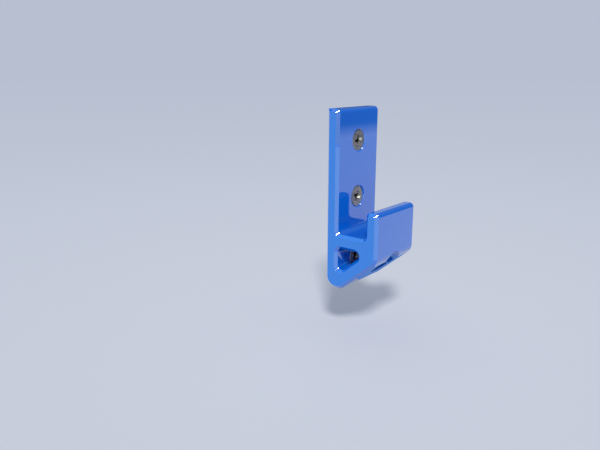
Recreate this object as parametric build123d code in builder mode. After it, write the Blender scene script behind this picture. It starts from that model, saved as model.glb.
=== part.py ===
from build123d import *
import math
import os

# Picture hook, fixed by three countersunk screws through its back plate.
# +Z is up, the plate's back is the plane Y = 0 and the hook stands out of it towards -Y.
# The origin is on the upper screw's axis, at the plate's back. All sizes are in millimetres.

# Overall size of the moulding
hook_height = 60.0
hook_width = 23.8
hook_depth = 20.1

# Thicknesses of the side profile
plate_thickness = 4.55
upright_thickness = 4.45
shelf_thickness = 4.75
brace_thickness = 4.95

# Heights above the lower end: the shelf's top, the lip, and the brace's lower front corner
shelf_height = 19.05
lip_height = 28.15
nose_height = 11.62
# Depth of the flat lower end, where the brace starts
foot_depth = 6.1

# Rounding of the side profile, and the bevel along both of its sides
lower_corner_radius = 4.0
corner_radius = 1.5
side_bevel = 0.95

# Countersunk wood screws: thread diameter, smooth neck under the head, and point
screw_diameter = 3.5
screw_length = 12.0
screw_point = 3.0
neck_diameter = 2.5
head_diameter = 7.0
head_rim = 0.1
countersink_angle = 90.0

# Cross recess in each head
recess_span = 4.1
recess_slot = 1.0
recess_depth = 1.7
recess_taper = 10.0

# Screw positions, and how far round each screw happens to be turned
upper_screw_drop = 10.7
middle_screw_height = 30.2
lower_screw_height = 9.0
upper_screw_turn = 8.0
middle_screw_turn = -21.0
lower_screw_turn = 40.0

# The heads lie a little below the plate's face, and their cones a hair clear of the seats
hole_clearance = 0.25
head_recess = 0.3
seat_clearance = 0.02

# Round hole through the brace, in line with the lower screw, for the screwdriver
driver_hole_diameter = 8.9

# Places worked out from the sizes above
upper_screw_height = hook_height - upper_screw_drop
screws = (
    (upper_screw_height, upper_screw_turn),
    (middle_screw_height, middle_screw_turn),
    (lower_screw_height, lower_screw_turn),
)
upright_back = hook_depth - upright_thickness
brace_slope = nose_height / (hook_depth - foot_depth)
brace_run = brace_thickness * math.hypot(1, brace_slope)
window_top = shelf_height - shelf_thickness
window_foot = brace_run - (foot_depth - plate_thickness) * brace_slope
window_nose = plate_thickness + (window_top - window_foot) / brace_slope
cone_slope = math.tan(math.radians(countersink_angle / 2))
mouth_radius = head_diameter / 2 + (head_recess + head_rim) * cone_slope
head_face = -plate_thickness + head_recess - seat_clearance

# The side profile is drawn as distance from the plate's back across and height up.
side = Plane(origin=(0, 0, -upper_screw_height), x_dir=(0, -1, 0), z_dir=(-1, 0, 0))
# The front of the plate, seen from the front, with height above the lower end up.
plate_front = Plane(
    origin=(0, -plate_thickness, -upper_screw_height), x_dir=(1, 0, 0), z_dir=(0, -1, 0)
)

# Corners of the outline, from the top of the plate round to its back
plate_top = (plate_thickness, hook_height)
channel_back = (plate_thickness, shelf_height)
channel_front = (upright_back, shelf_height)
lip_back = (upright_back, lip_height)
lip_front = (hook_depth, lip_height)
nose = (hook_depth, nose_height)
foot = (foot_depth, 0)
heel = (0, 0)

with BuildPart() as hook:
    with BuildSketch(side) as profile:
        with BuildLine():
            Polyline(
                (0, hook_height),
                plate_top,
                channel_back,
                channel_front,
                lip_back,
                lip_front,
                nose,
                foot,
                heel,
                close=True,
            )
        make_face()
        small_corners = (plate_top, channel_back, channel_front, lip_back, lip_front)
        fillet(
            [profile.vertices().sort_by_distance(corner)[0] for corner in small_corners],
            corner_radius,
        )
        fillet(
            [profile.vertices().sort_by_distance(corner)[0] for corner in (nose, foot, heel)],
            lower_corner_radius,
        )
        # Triangular window between the plate, the shelf and the brace
        with BuildLine():
            FilletPolyline(
                (plate_thickness, window_top),
                (plate_thickness, window_foot),
                (window_nose, window_top),
                radius=corner_radius,
                close=True,
            )
        make_face(mode=Mode.SUBTRACT)
    extrude(amount=hook_width / 2, both=True)

    # Bevel right round both side faces and the window
    chamfer(hook.faces().filter_by(Axis.X).edges(), side_bevel)

    # Screw holes through the plate, with seats for the heads
    with Locations(plate_front):
        with Locations(*[(0, height) for height, turn in screws]):
            CounterSinkHole(
                radius=screw_diameter / 2 + hole_clearance,
                counter_sink_radius=mouth_radius,
                depth=plate_thickness,
                counter_sink_angle=countersink_angle,
            )

    # Screwdriver hole through the brace
    with BuildSketch(plate_front):
        with Locations((0, lower_screw_height)):
            Circle(driver_hole_diameter / 2)
    extrude(amount=hook_depth, mode=Mode.SUBTRACT)

hook.part.label = "hook"

# One screw along +Z, with its head's face at Z = 0. The neck ends where the screw leaves the
# plate, and a plain cylinder of the thread's outer diameter runs from there to the point.
neck_start = head_rim + (head_diameter - neck_diameter) / 2 / cone_slope
thread_start = -head_face
thread_run_out = (screw_diameter - neck_diameter) / 2

with BuildPart() as wood_screw:
    with BuildSketch(Plane.XZ):
        with BuildLine():
            Polyline(
                (0, 0),
                (head_diameter / 2, 0),
                (head_diameter / 2, head_rim),
                (neck_diameter / 2, neck_start),
                (neck_diameter / 2, thread_start - thread_run_out),
                (screw_diameter / 2, thread_start),
                (screw_diameter / 2, screw_length - screw_point),
                (0, screw_length),
                close=True,
            )
        make_face()
    revolve(axis=Axis.Z)
    with BuildSketch(Plane.XY):
        Rectangle(recess_span, recess_slot)
        Rectangle(recess_slot, recess_span)
    extrude(amount=recess_depth, taper=recess_taper, mode=Mode.SUBTRACT)

# The three screws are alike, so they share one node as separate solids.
with BuildPart() as mounting_screws:
    for height, turn in screws:
        across = (math.cos(math.radians(turn)), 0, math.sin(math.radians(turn)))
        seat = Plane(origin=(0, head_face, height - upper_screw_height), x_dir=across, z_dir=(0, 1, 0))
        with Locations(seat):
            add(wood_screw.part)

mounting_screws.part.label = "mounting_screws"

os.makedirs("parts", exist_ok=True)
export_step(hook.part, "parts/hook.step")
export_step(mounting_screws.part, "parts/mounting_screws.step")
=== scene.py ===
import math

import bmesh
import bpy
from mathutils import Matrix, Vector


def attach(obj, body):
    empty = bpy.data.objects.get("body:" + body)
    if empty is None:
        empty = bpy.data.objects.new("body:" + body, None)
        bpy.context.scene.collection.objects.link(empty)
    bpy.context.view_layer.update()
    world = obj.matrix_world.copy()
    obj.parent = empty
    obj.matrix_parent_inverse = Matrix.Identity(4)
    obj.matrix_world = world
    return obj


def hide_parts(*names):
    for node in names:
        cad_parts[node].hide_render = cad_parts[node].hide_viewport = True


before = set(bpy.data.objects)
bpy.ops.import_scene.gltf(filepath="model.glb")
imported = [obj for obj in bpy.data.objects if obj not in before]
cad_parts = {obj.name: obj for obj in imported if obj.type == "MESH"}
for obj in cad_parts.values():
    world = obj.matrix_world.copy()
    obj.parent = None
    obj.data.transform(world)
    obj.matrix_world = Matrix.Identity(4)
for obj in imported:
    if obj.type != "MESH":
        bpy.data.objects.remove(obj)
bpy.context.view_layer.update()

# Lengths are written in millimetres and multiplied by MM, in the frame of the solids:
# the plate's back is the plane y = 0 and the upper screw's axis runs through the origin.
MM = 0.001

# The camera: its place, how far it looks down and to the right in degrees, and its lens
CAMERA_PLACE = (-163.47, -114.74, 22.0)
CAMERA_DIP = 14.67
CAMERA_TURN = 50.27
LENS_LENGTH = 35.1
SENSOR_WIDTH = 36.0
NEAREST_SEEN = 5.0

# The lamp: its strength, the width of its disc in degrees, its colour and the way towards it
LAMP_STRENGTH = 2.2
LAMP_WIDTH = 9.0
LAMP_COLOUR = (1.0, 0.985, 0.96)
TOWARDS_LAMP = (-0.56, -0.44, 0.70)

# The floor, which fades into the backdrop by 1 - FLOOR_FADE / (distance + FADE_OFFSET)
FLOOR_HEIGHT = -67.2
FLOOR_REACH = 6000.0
FLOOR_COLOUR = (0.62, 0.635, 0.665, 1.0)
FLOOR_FADE = 250.0
FADE_OFFSET = 200.0
PALE_BACKDROP = (0.474, 0.521, 0.631, 1.0)

# Two planes that the studio boards stand in: well in front of the hook, and just behind it
AHEAD = -360.0
BEHIND = 0.5
# How high above the floor a board's foot tone has turned into its own tone
FOOT_RISE = 20.0

# Tones of the studio boards
DARK_GREY = (0.07, 0.08, 0.12)
MIDDLE_GREY = (0.13, 0.15, 0.21)
PALE_GREY = (0.58, 0.62, 0.70)
DEEP_BLUE = (0.04, 0.11, 0.36)
SOFT_BLUE = (0.16, 0.33, 0.75)
BRIGHT_BLUE = (0.37, 0.75, 1.0)
GREY_BLUE = (0.32, 0.40, 0.62)
PALE_GREEN = (0.85, 1.06, 0.8)
WARM_YELLOW = (0.70, 0.69, 0.10)
GLARING_WHITE = (5.0, 5.0, 5.0)

# The screws as the part's source has them
HEAD_FACE = -4.27
HEAD_RADIUS = 3.5
HEAD_RIM = 0.1
NECK_RADIUS = 1.25
THREAD_RADIUS = 1.75
SCREW_LENGTH = 12.0
POINT_LENGTH = 3.0
RECESS_SPAN = 4.1
RECESS_SLOT = 1.0
SCREW_HEIGHTS = (0.0, -19.1, -40.3)
SCREW_TURNS = (8.0, -21.0, 40.0)

# The softened edge of the head, as distances in from its rim and below its face
HEAD_EDGE = ((0.09, 0.0), (0.03, 0.02), (0.0, 0.07))
# The blend of cone and neck, as distances outside the neck and below the face
NECK_BLEND = ((0.25, 2.1), (0.07, 2.32), (0.0, 2.6))
# The blunt end of the point, as radii and distances from its tip
POINT_END = ((0.35, 0.9), (0.12, 0.2), (0.0, 0.0))
# The depths at which the neck ends and the core below it starts
NECK_END = 3.7
CORE_START = 4.0

# The thread: its core, its pitch, where it starts, and how far before the tip it stops
ROOT_RADIUS = 1.15
THREAD_PITCH = 1.35
THREAD_START = 3.9
THREAD_STOP = 0.3
# Half the width of its ridge at the foot and at the crest, and how deep the foot is sunk
RIDGE_FOOT = 0.3
RIDGE_CREST = 0.05
RIDGE_SUNK = 0.2
# The ridge grows over one pitch, from GROWTH_LEAD before the thread's start, and dies out over
# DYING_LENGTH, up to DYING_END before the tip. It stays LEAST_RADIUS or more from the axis.
GROWTH_LEAD = 0.35
DYING_LENGTH = 2.4
DYING_END = 0.2
LEAST_RADIUS = 0.02

# The blades that press the recess: length, depth of their middle, and share left at the tip
BLADE_LENGTH = 2.2
BLADE_MIDDLE = 0.75
BLADE_TIP = (0.42, 0.6, 1.0)
# The round middle of that tool, as radii and distances below the head's face
RECESS_CORE = ((0.0, -0.4), (1.12, -0.4), (0.78, 1.7), (0.0, 2.2))

# Steps of the turned shapes and of each turn of the thread, the distance at which two points
# count as one, and the angle past which an edge is sharp
HEAD_STEPS = 96
CORE_STEPS = 24
THREAD_STEPS = 40
SAME_POINT = 0.0005
SHARP_ANGLE = 32.0

# The fine relief of moulding and turning, and the rings that turning leaves on the heads:
# their pitch, and their height as a share of the grain's
RELIEF_DEPTH = 0.02
RING_PITCH = 0.16
RING_SHARE = 0.25
# The depth below a head's face over which the steel's painted shade and highlight change
SHADED_DEPTH = 4.0

scene = bpy.context.scene


# Camera, floor, lamp and studio boards

def place_camera():
    """The photograph's viewpoint: left of the hook and above it, looking a little down."""
    lens = bpy.data.cameras.new("camera")
    lens.sensor_width = SENSOR_WIDTH
    lens.lens = LENS_LENGTH
    lens.clip_start = NEAREST_SEEN * MM
    camera = bpy.data.objects.new("camera", lens)
    camera.location = Vector(CAMERA_PLACE) * MM
    camera.rotation_euler = (math.radians(90.0 - CAMERA_DIP), 0.0, math.radians(-CAMERA_TURN))
    scene.collection.objects.link(camera)
    scene.camera = camera


def lay_floor():
    """A pale floor, large enough to reach the horizon in every view."""
    floor_mesh = bmesh.new()
    bmesh.ops.create_grid(floor_mesh, x_segments=1, y_segments=1, size=FLOOR_REACH * MM)
    bmesh.ops.translate(floor_mesh, verts=floor_mesh.verts, vec=(0.0, 0.0, FLOOR_HEIGHT * MM))
    floor = finished_piece(floor_mesh, "floor", pale_floor())


def light_the_studio():
    """One soft lamp high up behind the camera, and pale light from all round."""
    lamp = bpy.data.lights.new("key_lamp", "SUN")
    lamp.energy = LAMP_STRENGTH
    lamp.angle = math.radians(LAMP_WIDTH)
    lamp.color = LAMP_COLOUR
    key = bpy.data.objects.new("key_lamp", lamp)
    key.rotation_euler = Vector(TOWARDS_LAMP).to_track_quat("Z", "Y").to_euler()
    scene.collection.objects.link(key)

    room = bpy.data.worlds.new("studio")
    room.use_nodes = True
    backdrop = room.node_tree.nodes["Background"]
    backdrop.inputs["Color"].default_value = PALE_BACKDROP
    backdrop.inputs["Strength"].default_value = 1.0
    scene.world = room
    scene.view_settings.view_transform = "Standard"


def upright(start, end, top, foot=FLOOR_HEIGHT):
    """Corners of an upright board between two points of the plan, from its foot to its top."""
    return ((*start, foot), (*end, foot), (*end, top), (*start, top))


def put_up_board(name, corners, tone, foot_tone=None):
    """A studio board that is seen in reflections only, with its four corners in millimetres."""
    board_mesh = bmesh.new()
    board_mesh.faces.new([board_mesh.verts.new(Vector(corner) * MM) for corner in corners])
    board = finished_piece(board_mesh, name, lit_board(name, tone, foot_tone or tone))
    board.visible_camera = False
    board.visible_diffuse = False
    board.visible_transmission = False
    board.visible_shadow = False


def put_up_all_boards():
    """The boards that the hook's glossy faces and the screws mirror."""
    # Dark boards in front and overhead keep the plate's top and the rounded edges deep blue.
    put_up_board("front_board", upright((100, AHEAD), (6000, AHEAD), 2000), DARK_GREY, PALE_GREY)
    overhead = ((50, AHEAD, 500), (1200, AHEAD, 500), (1200, 700, 500), (50, 700, 500))
    put_up_board("overhead_board", overhead, MIDDLE_GREY)

    # A bright board on the left is for the left side face, and a deep blue one on the right
    # for the space between the plate and the lip.
    put_up_board("left_board", upright((-12.3, BEHIND), (-75, BEHIND), 12), BRIGHT_BLUE)
    put_up_board("right_board", upright((12.3, BEHIND), (75, BEHIND), -18), DEEP_BLUE, SOFT_BLUE)

    # Two cards left of the hook, one above the other, set the bevels off from the side face.
    put_up_board("white_card", upright((-87, -40), (-22, -88), -10.5), PALE_GREEN)
    put_up_board("warm_card", upright((-87, -40), (-22, -88), 25, foot=-9.5), WARM_YELLOW)

    # Two narrow cards behind are for the tops of the lip and of the plate.
    put_up_board("lip_card", upright((13, BEHIND), (50, BEHIND), -8, foot=-18), GREY_BLUE)
    put_up_board("plate_card", upright((-12, BEHIND), (22, BEHIND), 13, foot=10.8), DEEP_BLUE)

    # A small bright one overhead makes the glints on the countersinks and in the recesses.
    glint = ((20, -210, 215), (80, -210, 215), (80, -160, 250), (20, -160, 250))
    put_up_board("glint_card", glint, GLARING_WHITE)


# Materials

def new_material(name):
    """A material, its nodes' list, its links' maker and its main shader."""
    material = bpy.data.materials.new(name)
    material.use_nodes = True
    tree = material.node_tree
    return material, tree.nodes, tree.links.new, tree.nodes["Principled BSDF"]


def add_node(nodes, kind, **settings):
    """A node of this kind: settings name its properties, and sockets by number or by name."""
    node = nodes.new(kind)
    for socket, value in settings.pop("inputs", {}).items():
        node.inputs[socket].default_value = value
    for setting, value in settings.items():
        setattr(node, setting, value)
    return node


def noise(nodes, link, place, scale, detail, roughness=0.5):
    """A socket with an even noise pattern on the piece's own coordinates."""
    pattern = add_node(
        nodes, "ShaderNodeTexNoise",
        inputs={"Scale": scale, "Detail": detail, "Roughness": roughness},
    )
    link(place.outputs["Object"], pattern.inputs["Vector"])
    return pattern.outputs["Fac"]


def ranged(nodes, link, source, limits):
    """A socket with the source's value brought from one range to another."""
    change = add_node(nodes, "ShaderNodeMapRange", inputs=limits)
    link(source, change.inputs["Value"])
    return change.outputs["Result"]


def coloured(nodes, link, source, first, last, between=()):
    """A socket with the colour for the source's value, by stops of a position and a colour."""
    ramp = add_node(nodes, "ShaderNodeValToRGB")
    stops = ramp.color_ramp.elements
    for stop, (position, colour) in zip(stops, (first, last)):
        stop.position = position
        stop.color = (*colour, 1.0)
    for position, colour in between:
        stops.new(position).color = (*colour, 1.0)
    link(source, ramp.inputs["Fac"])
    return ramp.outputs["Color"]


def pale_floor():
    """A matt pale floor that fades into the backdrop's own colour before the horizon."""
    material, nodes, link, shader = new_material("pale_floor")
    shader.inputs["Base Color"].default_value = FLOOR_COLOUR
    shader.inputs["Roughness"].default_value = 0.9
    shader.inputs["Specular IOR Level"].default_value = 0.1
    place = add_node(nodes, "ShaderNodeTexCoord")
    away = add_node(nodes, "ShaderNodeVectorMath", operation="LENGTH")
    link(place.outputs["Object"], away.inputs[0])
    beyond = add_node(nodes, "ShaderNodeMath", operation="ADD", inputs={1: FADE_OFFSET * MM})
    link(away.outputs["Value"], beyond.inputs[0])
    near = add_node(nodes, "ShaderNodeMath", operation="DIVIDE", inputs={0: FLOOR_FADE * MM})
    link(beyond.outputs["Value"], near.inputs[1])
    fade = add_node(nodes, "ShaderNodeMath", operation="SUBTRACT", use_clamp=True, inputs={0: 1.0})
    link(near.outputs["Value"], fade.inputs[1])
    backdrop = add_node(nodes, "ShaderNodeEmission", inputs={"Color": PALE_BACKDROP})
    blend = add_node(nodes, "ShaderNodeMixShader")
    link(fade.outputs["Value"], blend.inputs["Fac"])
    link(shader.outputs["BSDF"], blend.inputs[1])
    link(backdrop.outputs["Emission"], blend.inputs[2])
    link(blend.outputs["Shader"], nodes["Material Output"].inputs["Surface"])
    return material


def lit_board(name, tone, foot_tone):
    """A board that shows the same tone in any light, after a soft change just above the floor."""
    material, nodes, link, shader = new_material(name)
    shader.inputs["Base Color"].default_value = (0.0, 0.0, 0.0, 1.0)
    shader.inputs["Specular IOR Level"].default_value = 0.0
    shader.inputs["Emission Strength"].default_value = 1.0
    place = add_node(nodes, "ShaderNodeTexCoord")
    apart = add_node(nodes, "ShaderNodeSeparateXYZ")
    link(place.outputs["Object"], apart.inputs["Vector"])
    rise = {"From Min": FLOOR_HEIGHT * MM, "From Max": (FLOOR_HEIGHT + FOOT_RISE) * MM}
    height = ranged(nodes, link, apart.outputs["Z"], rise)
    shown = coloured(nodes, link, height, (0.0, foot_tone), (1.0, tone))
    link(shown, shader.inputs["Emission Color"])
    return material


def blue_plastic():
    """Glossy moulded plastic: a clear polished skin with the slight waviness of a moulding."""
    material, nodes, link, shader = new_material("glossy_blue_plastic")
    place = add_node(nodes, "ShaderNodeTexCoord")
    shader.inputs["IOR"].default_value = 1.8
    shader.inputs["Coat Weight"].default_value = 1.0
    shader.inputs["Coat IOR"].default_value = 1.7
    shader.inputs["Coat Roughness"].default_value = 0.015

    # Pigment that is not perfectly even through the moulding
    flow = noise(nodes, link, place, scale=90.0, detail=3.0, roughness=0.55)
    full = (0.3, (0.0005, 0.139, 0.65))
    thin = (0.7, (0.0005, 0.147, 0.675))
    link(coloured(nodes, link, flow, full, thin), shader.inputs["Base Color"])

    # Handling marks: patches that are a little less polished
    marks = noise(nodes, link, place, scale=240.0, detail=5.0, roughness=0.6)
    polish = {"To Min": 0.03, "To Max": 0.08}
    link(ranged(nodes, link, marks, polish), shader.inputs["Roughness"])

    # The waviness of a moulded face
    waves = noise(nodes, link, place, scale=160.0, detail=2.0)
    ripple = add_node(nodes, "ShaderNodeBump", inputs={"Strength": 0.1, "Distance": RELIEF_DEPTH * MM})
    link(waves, ripple.inputs["Height"])
    link(ripple.outputs["Normal"], shader.inputs["Normal"])
    link(ripple.outputs["Normal"], shader.inputs["Coat Normal"])
    return material


def distance_from_screw(nodes, link, apart):
    """A socket with the distance from the nearest screw's axis."""
    height = apart.outputs["Z"]
    for above, below in zip(SCREW_HEIGHTS, SCREW_HEIGHTS[1:]):
        lower = add_node(
            nodes, "ShaderNodeMath", operation="LESS_THAN", inputs={1: (above + below) / 2 * MM}
        )
        link(apart.outputs["Z"], lower.inputs[0])
        raised = add_node(
            nodes, "ShaderNodeMath", operation="MULTIPLY_ADD", inputs={1: (above - below) * MM}
        )
        link(lower.outputs["Value"], raised.inputs[0])
        link(height, raised.inputs[2])
        height = raised.outputs["Value"]
    across = add_node(nodes, "ShaderNodeCombineXYZ")
    link(apart.outputs["X"], across.inputs["X"])
    link(height, across.inputs["Z"])
    from_axis = add_node(nodes, "ShaderNodeVectorMath", operation="LENGTH")
    link(across.outputs["Vector"], from_axis.inputs[0])
    return from_axis.outputs["Value"]


def painted_shade_by_depth(nodes, link, apart):
    """A socket with the painted shade and highlight from a head's face inwards.

    The face is dull. The recess is brightened at its mouth, a painted highlight that makes the lamp's
    glints there white, and darkened at its bottom, a painted shade. The shank beyond is bright.
    """
    inwards = {"From Min": HEAD_FACE * MM, "From Max": (HEAD_FACE + SHADED_DEPTH) * MM}
    depth = ranged(nodes, link, apart.outputs["Y"], inwards)
    face = (0.0, (0.55, 0.55, 0.55))
    # Painted highlight: the recess's mouth is brightened so that the lamp's glints there show white
    painted_highlight_mouth = ((0.02, 0.9), (0.14, 0.9))
    # Painted shade: the recess's bottom is darkened
    painted_shade_bottom = ((0.24, 0.06), (0.5, 0.06))
    shank = ((0.6, 1.0),)
    point = (1.0, (1.0, 1.0, 1.0))
    between = [(position, (grey, grey, grey)) for position, grey in painted_highlight_mouth + painted_shade_bottom + shank]
    return coloured(nodes, link, depth, face, point, between)


def screw_steel():
    """Zinc-plated steel, with the rings that turning leaves on the head."""
    material, nodes, link, shader = new_material("plated_screw_steel")
    place = add_node(nodes, "ShaderNodeTexCoord")
    apart = add_node(nodes, "ShaderNodeSeparateXYZ")
    link(place.outputs["Object"], apart.inputs["Vector"])
    shader.inputs["Metallic"].default_value = 1.0

    # Turned rings, with the plating's fine grain over them
    rings = add_node(
        nodes, "ShaderNodeMath", operation="MULTIPLY", inputs={1: 2 * math.pi / (RING_PITCH * MM)}
    )
    link(distance_from_screw(nodes, link, apart), rings.inputs[0])
    groove = add_node(nodes, "ShaderNodeMath", operation="SINE")
    link(rings.outputs["Value"], groove.inputs[0])
    rough = add_node(nodes, "ShaderNodeMath", operation="MULTIPLY_ADD", inputs={1: RING_SHARE})
    link(groove.outputs["Value"], rough.inputs[0])
    link(noise(nodes, link, place, scale=2600.0, detail=3.0), rough.inputs[2])
    relief = add_node(
        nodes, "ShaderNodeBump", inputs={"Strength": 0.5, "Distance": RELIEF_DEPTH * MM}
    )
    link(rough.outputs["Value"], relief.inputs["Height"])
    link(relief.outputs["Normal"], shader.inputs["Normal"])

    # Blotches in the plating's tone and sheen, multiplied by the painted shade and highlight of the
    # recess
    blotches = noise(nodes, link, place, scale=1500.0, detail=4.0)
    dull = (0.35, (0.51, 0.49, 0.53))
    clean = (0.65, (0.91, 0.87, 0.83))
    plating_and_painted_shade = add_node(nodes, "ShaderNodeVectorMath", operation="MULTIPLY")
    link(coloured(nodes, link, blotches, dull, clean), plating_and_painted_shade.inputs[0])
    link(painted_shade_by_depth(nodes, link, apart), plating_and_painted_shade.inputs[1])
    link(plating_and_painted_shade.outputs["Vector"], shader.inputs["Base Color"])
    sheen = {"To Min": 0.28, "To Max": 0.42}
    link(ranged(nodes, link, blotches, sheen), shader.inputs["Roughness"])
    return material


# Pieces

def finished_piece(shape, name, material):
    """Turns a bmesh into an object at the origin, with this material on all of its faces."""
    mesh = bpy.data.meshes.new(name)
    shape.to_mesh(mesh)
    shape.free()
    mesh.materials.append(material)
    piece = bpy.data.objects.new(name, mesh)
    scene.collection.objects.link(piece)
    return piece


def turned(profile, steps):
    """A closed shape turned about Z from a profile of (radius, height), in millimetres."""
    shape = bmesh.new()
    line = [shape.verts.new((radius * MM, 0.0, height * MM)) for radius, height in profile]
    edges = [shape.edges.new(pair) for pair in zip(line, line[1:])]
    bmesh.ops.spin(
        shape, geom=line + edges, cent=(0, 0, 0), axis=(0, 0, 1), angle=2 * math.pi,
        steps=steps, use_merge=True,
    )
    bmesh.ops.remove_doubles(shape, verts=shape.verts, dist=SAME_POINT * MM)
    bmesh.ops.recalc_face_normals(shape, faces=shape.faces)
    return shape


def screw_blank():
    """Head, neck and core of one screw along Z, head's face at z = 0."""
    profile = [(half_steps / 2, 0.0) for half_steps in range(7)]
    profile += [(HEAD_RADIUS - inward, depth) for inward, depth in HEAD_EDGE]
    profile += [(HEAD_RADIUS, HEAD_RIM)]
    profile += [(NECK_RADIUS + outward, depth) for outward, depth in NECK_BLEND]
    profile += [
        (NECK_RADIUS, NECK_END),
        (ROOT_RADIUS, CORE_START),
        (ROOT_RADIUS, SCREW_LENGTH - POINT_LENGTH),
    ]
    profile += [(radius, SCREW_LENGTH - back) for radius, back in POINT_END]
    return turned(profile, HEAD_STEPS)


def share(value):
    """The value, kept between 0 and 1."""
    return min(1.0, max(0.0, value))


def ridge_reach(radius, height):
    """How far from the axis a point of the ridge is brought, which was wound at this radius."""
    core = ROOT_RADIUS * share((SCREW_LENGTH - height) / POINT_LENGTH)
    growth = share((height - THREAD_START + GROWTH_LEAD) / THREAD_PITCH)
    dying = share((SCREW_LENGTH - DYING_END - height) / DYING_LENGTH)
    if radius > ROOT_RADIUS:
        return max(LEAST_RADIUS, core + (radius - ROOT_RADIUS) * growth * dying)
    return max(LEAST_RADIUS, core * radius / ROOT_RADIUS)


def screw_thread():
    """The thread's ridge, wound round the core and dying out at both of its ends."""
    shape = bmesh.new()
    sunk_radius = ROOT_RADIUS - RIDGE_SUNK
    section = (
        (sunk_radius, -RIDGE_FOOT),
        (THREAD_RADIUS, -RIDGE_CREST),
        (THREAD_RADIUS, RIDGE_CREST),
        (sunk_radius, RIDGE_FOOT),
    )
    loop = [
        shape.verts.new((radius * MM, 0.0, (THREAD_START + rise) * MM)) for radius, rise in section
    ]
    edges = [shape.edges.new(pair) for pair in zip(loop, loop[1:] + loop[:1])]
    turns = (SCREW_LENGTH - THREAD_STOP - THREAD_START) / THREAD_PITCH
    steps = round(turns * THREAD_STEPS)
    bmesh.ops.spin(
        shape, geom=loop + edges, cent=(0, 0, 0), axis=(0, 0, 1), angle=turns * 2 * math.pi,
        dvec=(0, 0, turns * THREAD_PITCH * MM / steps), steps=steps, use_merge=False,
    )
    bmesh.ops.holes_fill(shape, edges=[e for e in shape.edges if e.is_boundary], sides=len(loop))
    for vert in shape.verts:
        radius = Vector((vert.co.x, vert.co.y)).length / MM
        scale = ridge_reach(radius, vert.co.z / MM) / radius
        vert.co.x *= scale
        vert.co.y *= scale
    bmesh.ops.recalc_face_normals(shape, faces=shape.faces)
    return shape


def recess_blade(turn):
    """One of the two crossed blades that the recess is pressed with, narrower towards its tip."""
    shape = bmesh.new()
    bmesh.ops.create_cube(shape, size=1.0)
    size = Vector((RECESS_SPAN, RECESS_SLOT, BLADE_LENGTH)) * MM
    bmesh.ops.scale(shape, verts=shape.verts, vec=size)
    tip = [vert for vert in shape.verts if vert.co.z > 0]
    bmesh.ops.scale(shape, verts=tip, vec=BLADE_TIP)
    bmesh.ops.translate(shape, verts=shape.verts, vec=(0.0, 0.0, BLADE_MIDDLE * MM))
    bmesh.ops.rotate(shape, verts=shape.verts, cent=(0, 0, 0), matrix=Matrix.Rotation(turn, 3, "Z"))
    return shape


def apply_boolean(piece, operation, tool):
    """Joins the tool to the piece, or cuts it away, and removes the tool."""
    change = piece.modifiers.new(tool.name, "BOOLEAN")
    change.operation = operation
    change.solver = "EXACT"
    change.object = tool
    graph = bpy.context.evaluated_depsgraph_get()
    result = bpy.data.meshes.new_from_object(piece.evaluated_get(graph))
    piece.modifiers.clear()
    piece.data = result
    bpy.data.objects.remove(tool)


def threaded_screw(steel):
    """One whole screw along Z, with its thread joined on and its recess cut in."""
    screw = finished_piece(screw_blank(), "screw_pattern", steel)
    apply_boolean(screw, "UNION", finished_piece(screw_thread(), "thread", steel))
    for turn in (0.0, math.pi / 2):
        apply_boolean(screw, "DIFFERENCE", finished_piece(recess_blade(turn), "blade", steel))
    core = finished_piece(turned(RECESS_CORE, CORE_STEPS), "recess_core", steel)
    apply_boolean(screw, "DIFFERENCE", core)
    return screw


def drive_in_screws(steel):
    """The three screws in their holes, each turned its own way, as one piece."""
    pattern = threaded_screw(steel)
    row = bmesh.new()
    for height, turn in zip(SCREW_HEIGHTS, SCREW_TURNS):
        new_from = len(row.verts)
        row.from_mesh(pattern.data)
        row.verts.ensure_lookup_table()
        spun = Matrix.Rotation(math.radians(-turn), 4, "Z")
        laid = Matrix.Rotation(math.radians(-90.0), 4, "X")
        place = Matrix.Translation(Vector((0.0, HEAD_FACE, height)) * MM)
        bmesh.ops.transform(row, matrix=place @ laid @ spun, verts=row.verts[new_from:])
    bpy.data.objects.remove(pattern)
    bmesh.ops.recalc_face_normals(row, faces=row.faces)
    screws = finished_piece(row, "mounting_screws_threaded", steel)
    screws.data.shade_smooth()
    screws.data.set_sharp_from_angle(angle=math.radians(SHARP_ANGLE))
    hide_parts("mounting_screws")
    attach(screws, "root")


place_camera()
lay_floor()
light_the_studio()
put_up_all_boards()

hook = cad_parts["hook"]
hook.material_slots[0].material = blue_plastic()
drive_in_screws(screw_steel())
